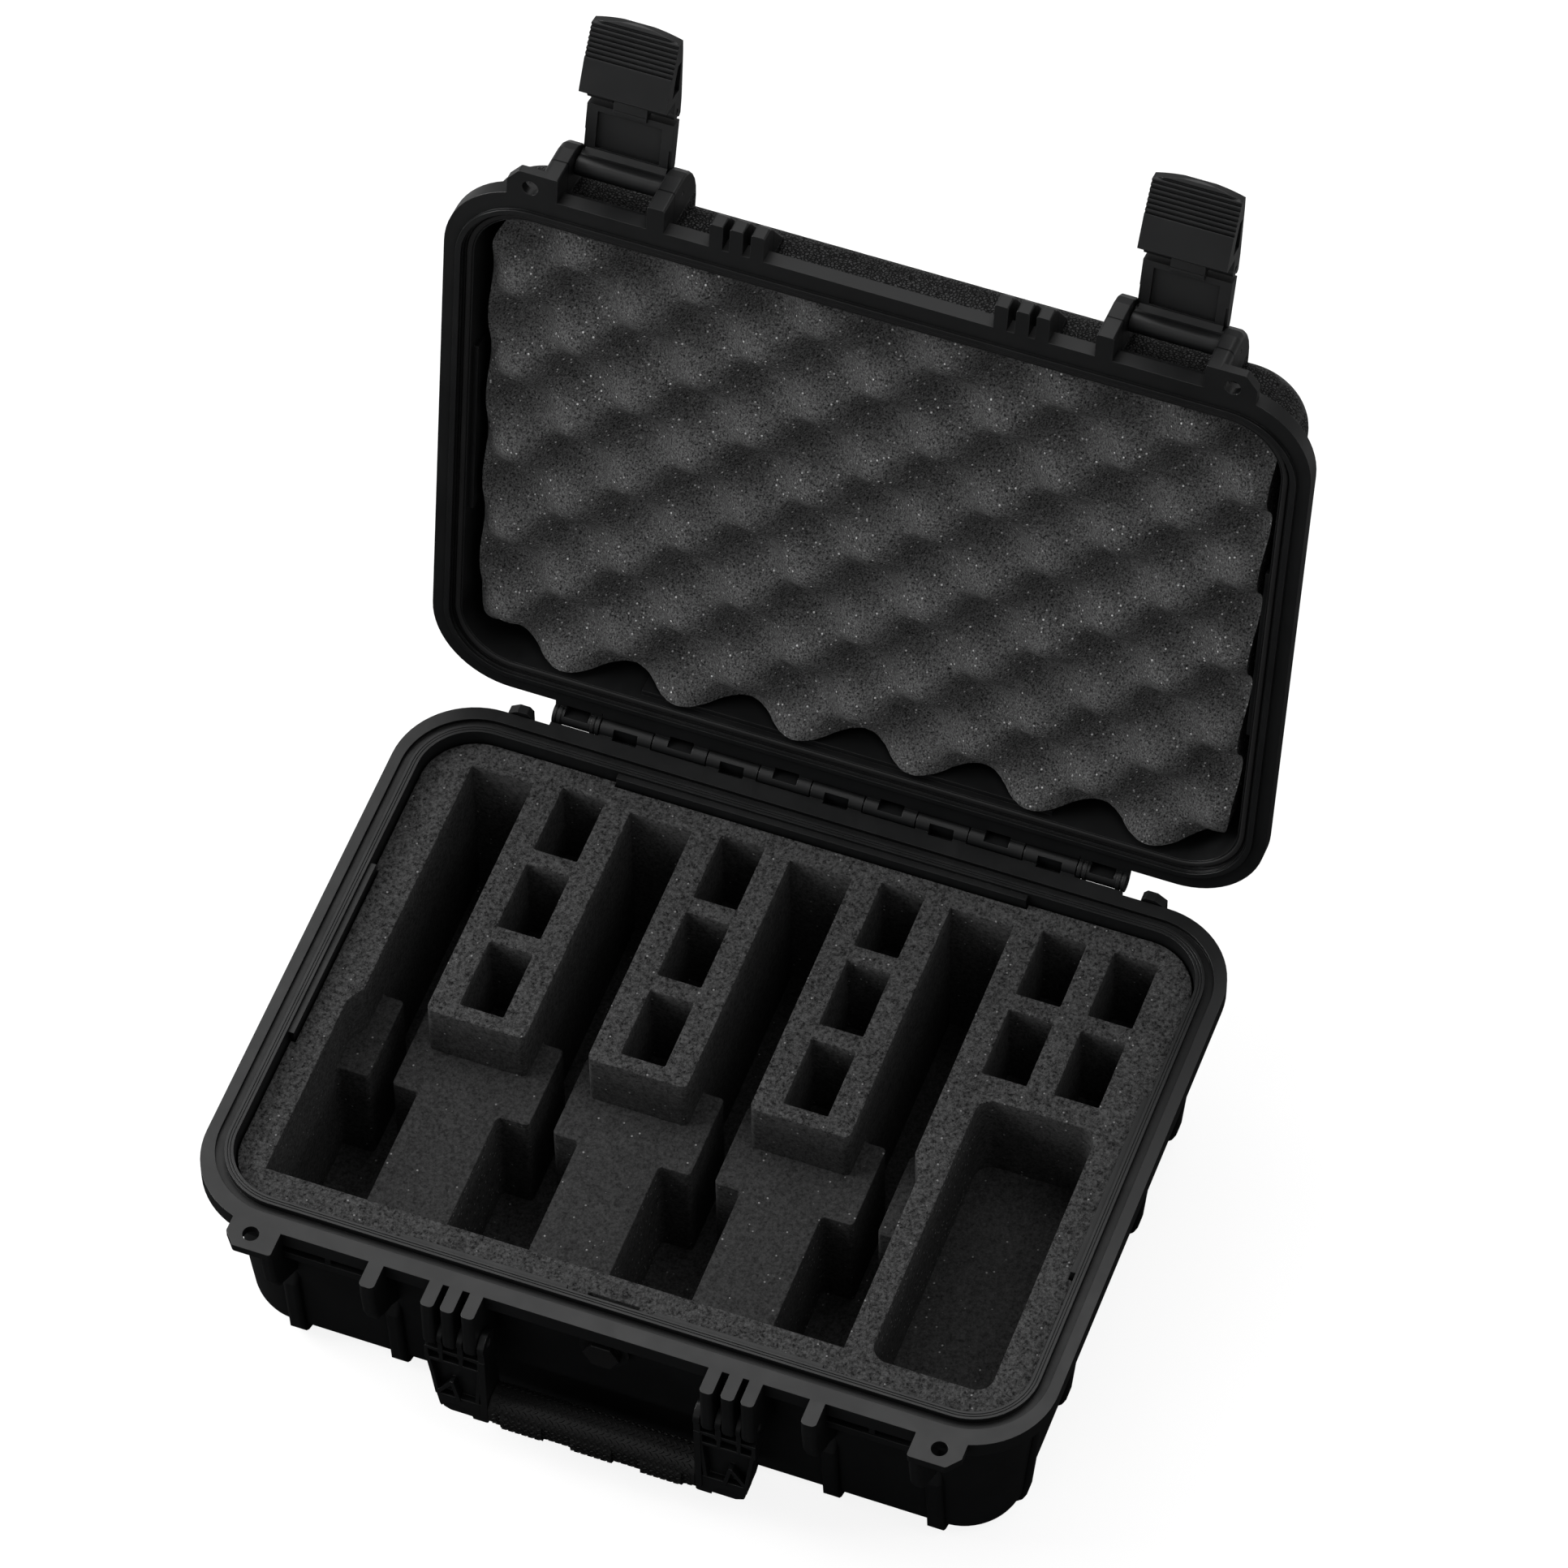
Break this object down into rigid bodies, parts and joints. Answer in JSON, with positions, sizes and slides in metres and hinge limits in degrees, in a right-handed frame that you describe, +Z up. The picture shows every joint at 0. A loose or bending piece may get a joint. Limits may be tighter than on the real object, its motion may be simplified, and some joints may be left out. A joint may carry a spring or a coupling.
{
  "type": "hard carrying case",
  "caption": "Latching hard-shell carrying case, lid open, with a cut-foam insert, egg-crate lid foam, a fold-down handle and a pressure relief valve.",
  "frame": {"origin": "centre of the flat underside of the lower shell", "axes": "+Z up; +Y towards the hinge, -Y towards the handle and latches; +X to the right seen from the handle side"},
  "size_m": [0.4104, 0.4321, 0.4971],
  "materials": {
    "shell": "fine satin moulding texture",
    "latch": "satin",
    "handle": "satin",
    "grip": "matt with a small tread pattern",
    "foam": "cut closed-cell foam",
    "lid_foam": "open-cell convoluted foam",
    "seal": "matt",
    "steel": "drawn pin stock",
    "vent": "satin",
    "membrane": "porous sheet"
  },
  "bodies": {
    "base": {"base_shell": "shell", "hinge_pin": "steel", "foam_top_layer": "foam", "foam_shelf_layer": "foam", "foam_lower_layer": "foam", "foam_base_pad": "foam", "vent_body": "vent", "vent_cap": "vent", "vent_nut": "vent", "vent_seal": "seal", "vent_membrane": "membrane", "handle_pin_left": "steel", "handle_pin_right": "steel"},
    "lid": {"lid_shell": "shell", "rim_gasket": "seal", "lid_foam": "lid_foam", "latch_pin_left": "steel", "latch_pin_right": "steel"},
    "latch_left": {"latch_arm_left": "latch", "lever_pin_left": "steel"},
    "latch_right": {"latch_arm_right": "latch", "lever_pin_right": "steel"},
    "lever_left": {"latch_lever_left": "latch"},
    "lever_right": {"latch_lever_right": "latch"},
    "handle": {"handle_frame": "handle", "handle_grip": "grip"}
  },
  "joints": [
    {"name": "lid_hinge", "type": "hinge", "parent": "base", "child": "lid", "pos_m": [0, 0.1603, 0.1112], "axis": [1, 0, 0], "range_deg": [0, 99.55]},
    {"name": "latch_left_pivot", "type": "hinge", "parent": "lid", "child": "latch_left", "pos_m": [-0.1308, 0.23704, 0.42147], "axis": [1, 0, 0], "range_deg": [-12, 97]},
    {"name": "latch_right_pivot", "type": "hinge", "parent": "lid", "child": "latch_right", "pos_m": [0.1308, 0.23704, 0.42147], "axis": [1, 0, 0], "range_deg": [-12, 97]},
    {"name": "lever_left_pivot", "type": "hinge", "parent": "latch_left", "child": "lever_left", "pos_m": [-0.1308, 0.25448, 0.45488], "axis": [1, 0, 0], "range_deg": [-35, 0]},
    {"name": "lever_right_pivot", "type": "hinge", "parent": "latch_right", "child": "lever_right", "pos_m": [0.1308, 0.25448, 0.45488], "axis": [1, 0, 0], "range_deg": [-35, 0]},
    {"name": "handle_pivot", "type": "hinge", "parent": "base", "child": "handle", "pos_m": [0, -0.16, 0.083], "axis": [1, 0, 0], "range_deg": [-92, 0]}
  ]
}
